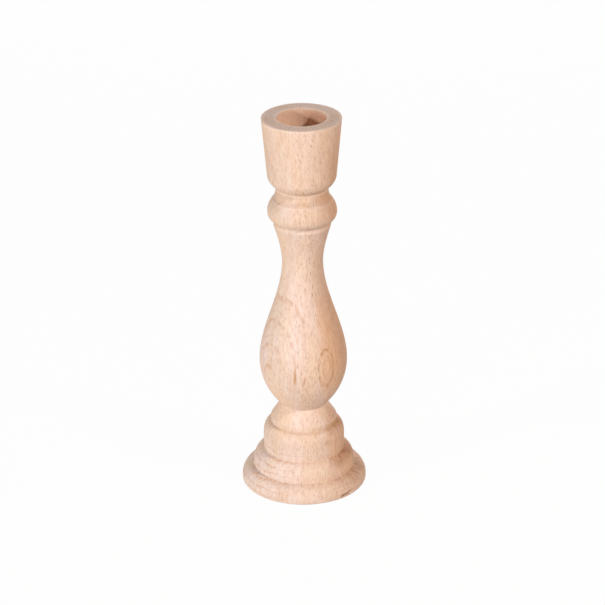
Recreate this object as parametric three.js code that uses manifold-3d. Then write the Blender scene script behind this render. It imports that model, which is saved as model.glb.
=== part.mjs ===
// Turned beech candle holder: a stepped base, a baluster stem and a candle cup, each turned from
// its own blank and joined on the lathe axis by two fluted glue dowels.
// Millimetres, +Z up, origin at the centre of the base's underside.
import * as THREE from "three";
import { mergeVertices } from "three/addons/utils/BufferGeometryUtils.js";
import Module from "manifold-3d";

const wasm = await Module();
wasm.setup();

// Base, from the table upwards.
const FOOT_RADIUS = 28;
const FOOT_ARRIS = 1.4;
const FOOT_EDGE_HEIGHT = 2.4;
const FOOT_SHOULDER_RISE = 5.8;
const LOWER_STEP_RADIUS = 22.75;
const LOWER_STEP_EDGE_HEIGHT = 1.2;
const LOWER_STEP_SHOULDER_RISE = 6.9;
const UPPER_STEP_RADIUS = 18.15;
const UPPER_STEP_EDGE_HEIGHT = 7.6;
const UPPER_STEP_SHOULDER_RISE = 5.7;
const CONE_RADIUS = 14.75;
const CONE_BAND_HEIGHT = 2.6;
const CONE_HEIGHT = 6.4;
const NECK_RADIUS = 10.7;
const NECK_HEIGHT = 0.7;

// Stem, from the neck groove upwards.
const BULB_RADIUS = 19.55;
const BULB_ARC_RADIUS = 28;
const BULB_TAPER_HEIGHT = 47.5;
const WAIST_RADIUS = 9.05;
const FLARE_HEIGHT = 17.4;
const FLARE_RADIUS = 12.6;
const FILLET_HEIGHT = 1.9;
const FILLET_LEAN = 0.3;
const BEAD_RADIUS = 15.3;
const BEAD_LOWER_ROUND = 5.5;
const BEAD_UPPER_ROUND = 7.5;
const COLLAR_RADIUS = 12.75;
const COLLAR_HEIGHT = 5.2;
const CUP_SEAT_RADIUS = 11.6;

// Candle cup, from its seat upwards.
const CUP_UNDERSIDE_HEIGHT = 5.4;
const CUP_LOWER_RADIUS = 15.15;
const CUP_RIM_RADIUS = 17.55;
const RIM_EASE = 0.4;
const SOCKET_RADIUS = 11;
const SOCKET_DEPTH = 18;
const SOCKET_CHAMFER = 0.5;
const SOCKET_FLOOR = 3;

// Glue dowels and the bores that take them.
const LOWER_DOWEL_RADIUS = 5;
const LOWER_DOWEL_BITE = 20;
const UPPER_DOWEL_RADIUS = 4;
const UPPER_DOWEL_BITE = 10;
const DOWEL_CHAMFER = 1;
const DOWEL_FLUTES = 12;
const FLUTE_DEPTH = 0.4;
const DOWEL_CLEARANCE = 0.15;
const DOWEL_END_ROOM = 1;

// How full the curved cuts are, as shares of each cut's height or of its step in radius.
const BULB_TAPER = { lower: 0.32, upper: 0.35 };
const FLARE_BEND = { out: 0, up: 0.39 };
const CUP_BEND = { out: 0.97, up: 0.55 };

// Facets round the axis, and the longest and sharpest facet along a curved cut.
const TURNED_FACETS = 40;
const DOWEL_FACETS = 24;
const LONGEST_FACET = 3;
const SHARPEST_TURN = THREE.MathUtils.degToRad(12);
const TURN_SAMPLES = 32;
const WELD_DISTANCE = 1e-4;

const TURNED_BEECH = { color: 0xf2d2ba, roughness: 0.72, metalness: 0 };
const DOWEL_BEECH = { color: 0xe6c3a4, roughness: 0.8, metalness: 0 };

// An outline in the radius-height plane, traced cut by cut as the lathe tool goes.
class Outline {
  constructor(radius, height) {
    this.points = [new THREE.Vector2(radius, height)];
  }

  get radius() {
    return this.points.at(-1).x;
  }

  get height() {
    return this.points.at(-1).y;
  }

  // Follows a curve in facets that are short enough and turn little enough.
  trace(curve) {
    let turn = 0;
    for (let sample = 1; sample <= TURN_SAMPLES; sample += 1) {
      const before = curve.getTangent((sample - 1) / TURN_SAMPLES);
      turn += before.angleTo(curve.getTangent(sample / TURN_SAMPLES));
    }
    const steps = Math.ceil(Math.max(curve.getLength() / LONGEST_FACET, turn / SHARPEST_TURN));
    this.points.push(...curve.getPoints(steps).slice(1));
  }

  line(radius, height) {
    this.points.push(new THREE.Vector2(radius, height));
  }

  // A straight cut that goes up by a rise and ends at a radius.
  rise(rise, radius = this.radius) {
    this.line(radius, this.height + rise);
  }

  // A quarter-round that leaves upright and ends level.
  shoulder(radius, rise) {
    const across = this.radius - radius;
    this.trace(new THREE.EllipseCurve(radius, this.height, across, rise, 0, Math.PI / 2));
  }

  // A quarter-round that leaves level and ends upright.
  underside(radius, rise) {
    const across = radius - this.radius;
    this.trace(new THREE.EllipseCurve(this.radius, this.height + rise, across, rise, -Math.PI / 2, 0));
  }

  // A circular cut that starts at a slant and ends upright at a larger radius.
  swell(radius, arcRadius) {
    const turn = Math.acos(1 - (radius - this.radius) / arcRadius);
    const centreHeight = this.height + arcRadius * Math.sin(turn);
    this.trace(new THREE.EllipseCurve(radius - arcRadius, centreHeight, arcRadius, arcRadius, -turn, 0));
  }

  // A circular cut that leaves upright and ends at a slant at a smaller radius.
  fallAway(radius, arcRadius) {
    const turn = Math.acos(1 - (this.radius - radius) / arcRadius);
    const centreRadius = this.radius - arcRadius;
    this.trace(new THREE.EllipseCurve(centreRadius, this.height, arcRadius, arcRadius, 0, turn));
  }

  // An S-shaped cut, upright at both ends; the fullness says how long each end stays upright.
  ogee(radius, rise, fullness) {
    const start = new THREE.Vector2(this.radius, this.height);
    const end = new THREE.Vector2(radius, start.y + rise);
    const leave = new THREE.Vector2(start.x, start.y + rise * fullness.lower);
    const arrive = new THREE.Vector2(end.x, end.y - rise * fullness.upper);
    this.trace(new THREE.CubicBezierCurve(start, leave, arrive, end));
  }

  // A curve bent by one control point, given as shares of the step outwards and upwards.
  bend(radius, rise, share) {
    const start = new THREE.Vector2(this.radius, this.height);
    const end = new THREE.Vector2(radius, start.y + rise);
    const controlRadius = THREE.MathUtils.lerp(start.x, end.x, share.out);
    const control = new THREE.Vector2(controlRadius, start.y + rise * share.up);
    this.trace(new THREE.QuadraticBezierCurve(start, control, end));
  }

  // The outline turned round the Z axis.
  turned(facets) {
    const geometry = new THREE.LatheGeometry(this.points, facets);
    geometry.rotateX(Math.PI / 2);
    return geometry;
  }
}

const lowerBore = LOWER_DOWEL_RADIUS + DOWEL_CLEARANCE;
const lowerBoreDepth = LOWER_DOWEL_BITE + DOWEL_END_ROOM;
const upperBore = UPPER_DOWEL_RADIUS + DOWEL_CLEARANCE;
const upperBoreDepth = UPPER_DOWEL_BITE + DOWEL_END_ROOM;

function baseOutline() {
  const outline = new Outline(0, 0);
  outline.line(FOOT_RADIUS - FOOT_ARRIS, 0);
  outline.underside(FOOT_RADIUS, FOOT_ARRIS);
  outline.rise(FOOT_EDGE_HEIGHT - FOOT_ARRIS);
  outline.shoulder(LOWER_STEP_RADIUS, FOOT_SHOULDER_RISE);
  outline.rise(LOWER_STEP_EDGE_HEIGHT);
  outline.shoulder(UPPER_STEP_RADIUS, LOWER_STEP_SHOULDER_RISE);
  outline.rise(UPPER_STEP_EDGE_HEIGHT);
  outline.shoulder(CONE_RADIUS, UPPER_STEP_SHOULDER_RISE);
  outline.rise(CONE_BAND_HEIGHT);
  outline.rise(CONE_HEIGHT, NECK_RADIUS);
  outline.rise(NECK_HEIGHT);
  const top = outline.height;
  outline.line(lowerBore, top);
  outline.line(lowerBore, top - lowerBoreDepth);
  outline.line(0, top - lowerBoreDepth);
  return { outline, height: top };
}

function stemOutline() {
  const outline = new Outline(0, lowerBoreDepth);
  outline.line(lowerBore, lowerBoreDepth);
  outline.line(lowerBore, 0);
  outline.line(NECK_RADIUS, 0);
  outline.rise(NECK_HEIGHT);
  outline.swell(BULB_RADIUS, BULB_ARC_RADIUS);
  outline.ogee(WAIST_RADIUS, BULB_TAPER_HEIGHT, BULB_TAPER);
  outline.bend(FLARE_RADIUS, FLARE_HEIGHT, FLARE_BEND);
  outline.rise(FILLET_HEIGHT, FLARE_RADIUS - FILLET_LEAN);
  outline.swell(BEAD_RADIUS, BEAD_LOWER_ROUND);
  outline.fallAway(COLLAR_RADIUS, BEAD_UPPER_ROUND);
  outline.rise(COLLAR_HEIGHT, CUP_SEAT_RADIUS);
  const top = outline.height;
  outline.line(upperBore, top);
  outline.line(upperBore, top - upperBoreDepth);
  outline.line(0, top - upperBoreDepth);
  return { outline, height: top };
}

function cupOutline() {
  const rim = upperBoreDepth + SOCKET_FLOOR + SOCKET_DEPTH;
  const outline = new Outline(0, upperBoreDepth);
  outline.line(upperBore, upperBoreDepth);
  outline.line(upperBore, 0);
  outline.line(CUP_SEAT_RADIUS, 0);
  outline.bend(CUP_LOWER_RADIUS, CUP_UNDERSIDE_HEIGHT, CUP_BEND);
  outline.line(CUP_RIM_RADIUS, rim - RIM_EASE);
  outline.shoulder(CUP_RIM_RADIUS - RIM_EASE, RIM_EASE);
  outline.line(SOCKET_RADIUS + SOCKET_CHAMFER, rim);
  outline.line(SOCKET_RADIUS, rim - SOCKET_CHAMFER);
  outline.line(SOCKET_RADIUS, rim - SOCKET_DEPTH);
  outline.line(0, rim - SOCKET_DEPTH);
  return { outline, height: rim };
}

function solidOf(geometry) {
  const bare = geometry.clone();
  bare.deleteAttribute("normal");
  bare.deleteAttribute("uv");
  const welded = mergeVertices(bare, WELD_DISTANCE);
  const mesh = new wasm.Mesh({
    numProp: 3,
    vertProperties: new Float32Array(welded.attributes.position.array),
    triVerts: new Uint32Array(welded.index.array),
  });
  return new wasm.Manifold(mesh);
}

function geometryOf(solid) {
  const mesh = solid.getMesh();
  const geometry = new THREE.BufferGeometry();
  geometry.setAttribute("position", new THREE.BufferAttribute(new Float32Array(mesh.vertProperties), 3));
  geometry.setIndex(new THREE.BufferAttribute(new Uint32Array(mesh.triVerts), 1));
  geometry.computeVertexNormals();
  return geometry;
}

// A chamfered rod with straight glue flutes, its middle at the origin.
function dowelGeometry(radius, bite) {
  const rod = new Outline(0, -bite);
  rod.line(radius - DOWEL_CHAMFER, -bite);
  rod.rise(DOWEL_CHAMFER, radius);
  rod.line(radius, bite - DOWEL_CHAMFER);
  rod.rise(DOWEL_CHAMFER, radius - DOWEL_CHAMFER);
  rod.line(0, bite);
  let solid = solidOf(rod.turned(DOWEL_FACETS));
  for (let flute = 0; flute < DOWEL_FLUTES; flute += 1) {
    const side = Math.SQRT2 * FLUTE_DEPTH;
    const cutter = new THREE.BoxGeometry(side, side, 2 * bite + side);
    cutter.rotateZ(Math.PI / 4);
    cutter.translate(radius, 0, 0);
    cutter.rotateZ((2 * Math.PI * flute) / DOWEL_FLUTES);
    solid = solid.subtract(solidOf(cutter));
  }
  return geometryOf(solid);
}

function piece(name, geometry, finish, height) {
  const mesh = new THREE.Mesh(geometry, new THREE.MeshStandardMaterial(finish));
  mesh.name = name;
  mesh.position.z = height;
  return mesh;
}

const base = baseOutline();
const stem = stemOutline();
const cup = cupOutline();
const neckJoint = base.height;
const cupJoint = neckJoint + stem.height;
const lowerDowel = dowelGeometry(LOWER_DOWEL_RADIUS, LOWER_DOWEL_BITE);
const upperDowel = dowelGeometry(UPPER_DOWEL_RADIUS, UPPER_DOWEL_BITE);

const holder = new THREE.Group();
holder.name = "candle_holder";
holder.add(piece("base", base.outline.turned(TURNED_FACETS), TURNED_BEECH, 0));
holder.add(piece("lower_dowel", lowerDowel, DOWEL_BEECH, neckJoint));
holder.add(piece("stem", stem.outline.turned(TURNED_FACETS), TURNED_BEECH, neckJoint));
holder.add(piece("upper_dowel", upperDowel, DOWEL_BEECH, cupJoint));
holder.add(piece("candle_cup", cup.outline.turned(TURNED_FACETS), TURNED_BEECH, cupJoint));

export default holder;
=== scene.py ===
"""Looks of the turned beech candle holder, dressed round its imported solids.

Metres, +Z up along the lathe axis, origin at the centre of the base's underside, -Y towards the
camera. The base, the stem and the candle cup are turned again here in fine facets, with eased
edges and small chips, and two fluted glue dowels sit inside them. All three turned pieces share
one run of beech, so that the grain carries on across the joints.
"""

import logging
import math
from abc import ABC, abstractmethod
from collections.abc import Callable, Iterable
from dataclasses import dataclass, fields
from enum import Enum
from functools import reduce

import bpy
import numpy as np
from mathutils import Matrix, Vector


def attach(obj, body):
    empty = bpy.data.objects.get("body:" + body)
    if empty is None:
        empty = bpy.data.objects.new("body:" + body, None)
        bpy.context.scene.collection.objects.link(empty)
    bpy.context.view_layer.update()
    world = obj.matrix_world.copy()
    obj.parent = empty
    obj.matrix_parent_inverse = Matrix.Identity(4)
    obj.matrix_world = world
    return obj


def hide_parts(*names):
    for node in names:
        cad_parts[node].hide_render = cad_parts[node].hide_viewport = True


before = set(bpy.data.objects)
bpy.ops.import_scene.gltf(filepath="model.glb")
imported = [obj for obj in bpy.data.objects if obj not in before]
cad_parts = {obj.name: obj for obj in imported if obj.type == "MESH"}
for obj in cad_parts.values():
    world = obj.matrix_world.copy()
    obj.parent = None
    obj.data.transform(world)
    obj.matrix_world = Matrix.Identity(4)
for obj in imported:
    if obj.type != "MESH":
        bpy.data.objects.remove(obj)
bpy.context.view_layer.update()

LOG = logging.getLogger("candle_holder")
ROOT_BODY = "root"
BAKE_MAP = "OFBake"

# Sizes are in millimetres, as on the maker's drawing; meshes and places are in metres.
MM = 0.001
COARSE_STEP = 3.0
FINE_STEP = 0.6
FINEST_STEP = FINE_STEP / 3
SHARPEST_TURN = math.radians(6)
MEASURING_STEPS = 32
EASED_TURN = math.radians(20)
EASE_FACETS = 4
EDGE_EASE = 0.22
EDGE_EASE_SHARE = 0.4
HOLDING_GAP = 0.14
HOLDING_SHARE = 0.8
CREASE_REACH = 0.5
CREASE_FACETS = 8
WEAR_REACH = 0.9
FULL_WEAR_TURN = math.radians(55)
END_CUT_REACH = 0.3
LEVEL_RISE = 1e-6
TOUCH = 0.01
TINY = 1e-9

# Directions round the lathe axis, in degrees from +X towards +Y.
FRONT = -90.0
RIGHT = 0.0

Point = tuple[float, float]
Triple = tuple[float, float, float]
Socket = bpy.types.NodeSocket
Value = float | Triple | Socket


class Slot(Enum):
    """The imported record's material slots."""

    TURNED = "turned_beech"
    DOWEL = "dowel_beech"


class SocketKind(Enum):
    """What a node group's socket carries."""

    VALUE = "NodeSocketFloat"
    VECTOR = "NodeSocketVector"


class Layer(Enum):
    """What a mesh tells its finish about each point."""

    WEAR = "edge_wear"
    END_CUT = "end_cut"
    TILT = "cut_tilt"
    DRILLED = "drilled_wall"
    BROKEN = "broken_wood"


def put(name: str, data: bpy.types.ID) -> bpy.types.Object:
    """Makes an object and puts it in the scene.

    Args:
        name: The object's name.
        data: Its mesh, lamp or camera.

    Returns:
        The object.
    """
    obj = bpy.data.objects.new(name, data)
    bpy.context.scene.collection.objects.link(obj)
    return obj


class Outline:
    """A half section in the radius-height plane, traced cut by cut as the lathe tool goes."""

    def __init__(self, radius: float, height: float) -> None:
        """Puts the tool at its first point.

        Args:
            radius: Distance from the lathe axis.
            height: Height above the piece's own seat.
        """
        self.points: list[Point] = [(radius, height)]
        self.step = FINE_STEP
        self.joint = height
        self.creases: list[int] = []

    @property
    def radius(self) -> float:
        """The tool's distance from the axis."""
        return self.points[-1][0]

    @property
    def height(self) -> float:
        """The tool's height."""
        return self.points[-1][1]

    def trace(self, curve: Callable[[float], Point], turn: float) -> None:
        """Follows a curve in facets that are short enough and turn little enough.

        Args:
            curve: Gives the point at each share of the way, from 0 to 1.
            turn: How far the cut turns along the curve, in radians.
        """
        rough = [curve(step / MEASURING_STEPS) for step in range(MEASURING_STEPS + 1)]
        length = sum(math.dist(a, b) for a, b in zip(rough, rough[1:]))
        steps = math.ceil(max(length / self.step, turn / SHARPEST_TURN, 1))
        self.points += [curve(step / steps) for step in range(1, steps + 1)]

    def line(self, radius: float, height: float) -> None:
        """Cuts straight to a radius and a height."""
        start = self.points[-1]
        self.trace(lambda t: tuple(a + (b - a) * t for a, b in zip(start, (radius, height))), 0)

    def rise(self, rise: float, radius: float | None = None) -> None:
        """Cuts straight up by a rise, slanting to a radius if one is given."""
        self.line(self.radius if radius is None else radius, self.height + rise)

    def arc(self, centre: Point, across: float, rise: float, start: float, end: float) -> None:
        """Cuts along part of an ellipse.

        Args:
            centre: Radius and height of its centre.
            across: Half of its width.
            rise: Half of its height.
            start: Angle at which the cut starts, in radians.
            end: Angle at which the cut ends.
        """
        def curve(t: float) -> Point:
            """Gives the point at a share of the arc."""
            angle = start + (end - start) * t
            return centre[0] + across * math.cos(angle), centre[1] + rise * math.sin(angle)

        self.trace(curve, abs(end - start))

    def shoulder(self, radius: float, rise: float) -> None:
        """Cuts a quarter-round in to a radius, leaving upright and ending level."""
        self.arc((radius, self.height), self.radius - radius, rise, 0, math.pi / 2)

    def underside(self, radius: float, rise: float) -> None:
        """Cuts a quarter-round out to a radius, leaving level and ending upright."""
        self.arc((self.radius, self.height + rise), radius - self.radius, rise, -math.pi / 2, 0)

    def swell(self, radius: float, bend: float) -> None:
        """Cuts an arc of radius bend that starts at a slant and ends upright at a larger radius."""
        turn = math.acos(1 - (radius - self.radius) / bend)
        self.arc((radius - bend, self.height + bend * math.sin(turn)), bend, bend, -turn, 0)

    def fall_away(self, radius: float, bend: float) -> None:
        """Cuts an arc of radius bend that leaves upright and ends at a slant at a smaller radius."""
        turn = math.acos(1 - (self.radius - radius) / bend)
        self.arc((self.radius - bend, self.height), bend, bend, 0, turn)

    def bezier(self, *controls: Point) -> None:
        """Cuts a Bezier curve from the tool's place.

        Args:
            controls: The curve's other control points, its end last.
        """
        ends = [self.points[-1], *controls]
        order = len(ends) - 1

        def curve(t: float) -> Point:
            """Gives the point at a share of the curve."""
            shares = [math.comb(order, k) * t**k * (1 - t) ** (order - k) for k in range(order + 1)]
            return tuple(sum(s * end[axis] for s, end in zip(shares, ends)) for axis in (0, 1))

        self.trace(curve, math.pi / 2)

    def ogee(self, radius: float, rise: float, lower: float, upper: float) -> None:
        """Cuts an S that is upright at both ends.

        Args:
            radius: Radius at its end.
            rise: Height of the S.
            lower: Share of the height for which the lower end stays full.
            upper: Share of the height for which the upper end stays full.
        """
        top = self.height + rise
        leave = (self.radius, self.height + rise * lower)
        self.bezier(leave, (radius, top - rise * upper), (radius, top))

    def bend(self, radius: float, rise: float, out: float, up: float) -> None:
        """Cuts a curve bent by one control point, at shares of the way out and of the way up."""
        control = (self.radius + (radius - self.radius) * out, self.height + rise * up)
        self.bezier(control, (radius, self.height + rise))

    def bore(self, radius: float, depth: float, rises: bool) -> None:
        """Cuts a dowel's bore, between the axis and the joint's flat face.

        Args:
            radius: The bore's radius.
            depth: The bore's depth.
            rises: True for a bore that goes up from the piece's seat, which starts the outline.
        """
        self.step = COARSE_STEP
        if not rises:
            self.joint = self.height
        self.line(radius, self.height)
        self.line(radius, self.height - depth)
        if not rises:
            self.line(0, self.height)
        self.step = FINE_STEP

    def crease(self) -> None:
        """Marks the tool's place as an inner corner that is left as a small cove."""
        self.creases.append(len(self.points) - 1)

    @staticmethod
    def _rounded(start: Vector, corner: Vector, end: Vector, facets: int) -> list[Point]:
        """Rounds a corner off between two places beside it, which it gives too."""
        shares = [step / facets for step in range(facets + 1)]
        return [tuple(start.lerp(corner, t).lerp(corner.lerp(end, t), t)) for t in shares]

    def coved(self) -> list[Point]:
        """Cuts a small cove in each marked corner.

        Returns:
            The outline's points with every marked corner filled a little.
        """
        done = list(self.points)
        for place in reversed(self.creases):
            corner = Vector(done[place])
            first = last = place
            while (Vector(done[first]) - corner).length < CREASE_REACH:
                first -= 1
            while (Vector(done[last]) - corner).length < CREASE_REACH:
                last += 1
            cove = self._rounded(Vector(done[first]), corner, Vector(done[last]), CREASE_FACETS)
            done[first + 1:last] = cove[1:-1]
        return done

    def eased(self) -> list[Point]:
        """Rounds each sharp corner a little, as sandpaper does.

        Returns:
            The outline's points with every corner eased.
        """
        points = self.coved()
        done = [points[0]]
        for before, place, after in zip(points, points[1:], points[2:]):
            corner = Vector(place)
            come, go = corner - Vector(before), Vector(after) - corner
            if come.angle(go) < EASED_TURN:
                done.append(place)
                continue
            shorter = min(come.length, go.length)
            near = min(EDGE_EASE, EDGE_EASE_SHARE * shorter)
            hold = min(near + HOLDING_GAP, HOLDING_SHARE * shorter)
            come.normalize()
            go.normalize()
            done.append(tuple(corner - come * hold))
            done += self._rounded(corner - come * near, corner, corner + go * near, EASE_FACETS)
            done.append(tuple(corner + go * hold))
        return [*done, points[-1]]


class Nodes:
    """Short calls that place and link shader nodes in one tree."""

    MEAN_NOISE = 0.5

    def __init__(self, tree: bpy.types.NodeTree) -> None:
        """Takes the tree to work in."""
        self.tree = tree

    @classmethod
    def emptied(cls, owner: bpy.types.Material | bpy.types.World) -> "Nodes":
        """Clears a material or a world for new nodes.

        Args:
            owner: What the nodes are for.

        Returns:
            A placer for its nodes.
        """
        owner.use_nodes = True
        owner.node_tree.nodes.clear()
        return cls(owner.node_tree)

    def feed(self, socket: Socket, value: Value) -> None:
        """Links a socket to another, or sets its value.

        Args:
            socket: The input to feed.
            value: An output to link, or a plain value.
        """
        if isinstance(value, Socket):
            self.tree.links.new(value, socket)
        elif socket.type == "RGBA":
            socket.default_value = (*value, 1.0)
        else:
            socket.default_value = value

    def add(
        self, kind: str, inputs: dict[str | int, Value] | None = None, **settings: object
    ) -> bpy.types.Node:
        """Places a node.

        Args:
            kind: The node's type name.
            inputs: What feeds its inputs, by name or number.
            settings: Its own properties.

        Returns:
            The node.
        """
        node = self.tree.nodes.new(kind)
        for key, value in settings.items():
            setattr(node, key, value)
        for key, value in (inputs or {}).items():
            self.feed(node.inputs[key], value)
        return node

    def group(self, tree: bpy.types.NodeTree, inputs: dict[str | int, Value]) -> bpy.types.NodeOutputs:
        """Places a node group and gives its outputs."""
        return self.add("ShaderNodeGroup", inputs, node_tree=tree).outputs

    def math(self, operation: str, *values: Value) -> Socket:
        """Places a Math node and gives its output."""
        return self.add("ShaderNodeMath", dict(enumerate(values)), operation=operation).outputs[0]

    def product(self, *values: Value) -> Socket:
        """Multiplies values with each other."""
        return reduce(lambda first, second: self.math("MULTIPLY", first, second), values)

    def scaled(self, value: Value, gain: Value, base: Value) -> Socket:
        """Multiplies a value by a gain and adds a base."""
        return self.math("MULTIPLY_ADD", value, gain, base)

    def rest(self, share: Value) -> Socket:
        """Gives what a share leaves of 1."""
        return self.math("SUBTRACT", 1, share)

    def excess(self, value: Value, limit: Value) -> Socket:
        """Gives how far a value is past a limit, and 0 below it."""
        return self.math("MAXIMUM", self.math("SUBTRACT", value, limit), 0)

    def fade(self, square: Value) -> Socket:
        """Fades from 1 to 0 with the square of a distance."""
        return self.math("EXPONENT", self.math("MULTIPLY", square, -1))

    def vector(self, operation: str, *values: Value) -> Socket:
        """Places a Vector Math node and gives its vector, or its value where that is one number."""
        node = self.add("ShaderNodeVectorMath", dict(enumerate(values)), operation=operation)
        return node.outputs["Value" if operation in ("LENGTH", "DOT_PRODUCT") else "Vector"]

    def split(self, vector: Value) -> bpy.types.NodeOutputs:
        """Splits a vector into its X, Y and Z."""
        return self.add("ShaderNodeSeparateXYZ", {0: vector}).outputs

    def join(self, *values: Value) -> Socket:
        """Joins an X, a Y and a Z into a vector, with 0 for those left out."""
        return self.add("ShaderNodeCombineXYZ", dict(enumerate(values))).outputs[0]

    def reach(self, place: Value) -> Socket:
        """Finds how far a place lies from the upright axis."""
        return self.vector("LENGTH", self.vector("MULTIPLY", place, (1, 1, 0)))

    def bearing(self, place: Value) -> Socket:
        """Finds a place's angle round the upright axis, from the front towards +X."""
        split = self.split(place)
        return self.math("ARCTAN2", split["X"], self.math("MULTIPLY", split["Y"], -1))

    def layer(self, layer: Layer) -> Socket:
        """Reads one of the mesh's layers."""
        return self.add("ShaderNodeAttribute", attribute_name=layer.value).outputs["Fac"]

    def step(self, value: Value, start: float, end: float) -> Socket:
        """Places a smooth step from 0 at a start to 1 at an end, which may lie below the start."""
        span = {"Value": value, "From Min": start, "From Max": end}
        return self.add("ShaderNodeMapRange", span, interpolation_type="SMOOTHSTEP").outputs[0]

    def mix(self, share: Value, first: Value, second: Value, blend: str = "MIX") -> Socket:
        """Mixes a share of the second colour over the first."""
        inputs = {0: share, 6: first, 7: second}
        return self.add("ShaderNodeMix", inputs, data_type="RGBA", blend_type=blend).outputs[2]

    def tone(self, share: Value, colour: Value, tone: Triple) -> Socket:
        """Multiplies a colour by a share of a tone."""
        return self.mix(share, colour, tone, "MULTIPLY")

    def noise(
        self, place: Value, scale: Triple, detail: float = 2.0, roughness: float = 0.5
    ) -> bpy.types.NodeOutputs:
        """Places a noise texture, read at a place times a scale, and gives its outputs."""
        read = {"Vector": self.vector("MULTIPLY", place, scale), "Scale": 1.0, "Detail": detail}
        return self.add("ShaderNodeTexNoise", {**read, "Roughness": roughness}).outputs

    def wander(self, place: Value, scale: Triple, **layers: float) -> Socket:
        """Gives noise that wanders about 0, with the detail and roughness that noise takes."""
        return self.math("SUBTRACT", self.noise(place, scale, **layers)[0], self.MEAN_NOISE)

    def patches(self, place: Value, scale: Triple, start: float, end: float, **layers: float) -> Socket:
        """Gives soft patches, which begin where noise is at a start and are full at an end."""
        return self.step(self.noise(place, scale, **layers)[0], start, end)

    def drift(self, along: Value, scale: float, detail: float) -> Socket:
        """Places a noise texture that changes along one value."""
        read = {"W": along, "Scale": scale, "Detail": detail}
        return self.add("ShaderNodeTexNoise", read, noise_dimensions="1D").outputs[0]


@dataclass(frozen=True)
class SkinMark:
    """A mark at one spot of the turned skin, in degrees from the front and millimetres."""

    azimuth: float
    height: float
    half_width: float
    half_height: float

    @classmethod
    def labels(cls) -> dict[str, str]:
        """Gives the name of the node group's socket for each of the mark's fields."""
        return {field.name: field.name.replace("_", " ").title() for field in fields(cls)}

    def place(self, nodes: Nodes, tree: bpy.types.NodeTree, polar: Value, show: Value) -> Socket:
        """Places the mark's node group, over what shows already, and gives how strongly all show."""
        sizes = {label: getattr(self, name) for name, label in self.labels().items()}
        return nodes.group(tree, {"Polar": polar, "Show": show, **sizes})["Show"]


@dataclass(frozen=True)
class Eye(SkinMark):
    """Nested growth lines round one spot; upright is 1 for arches above it and -1 for bows below."""

    rings: float
    clarity: float
    upright: float = 0.0
    wobble: float = 0.5
    sharpness: float = 7.0
    reach: float = 60.0


@dataclass(frozen=True)
class Spot(SkinMark):
    """A soft streak or patch."""

    share: float
    lean: float = 0.0


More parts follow.
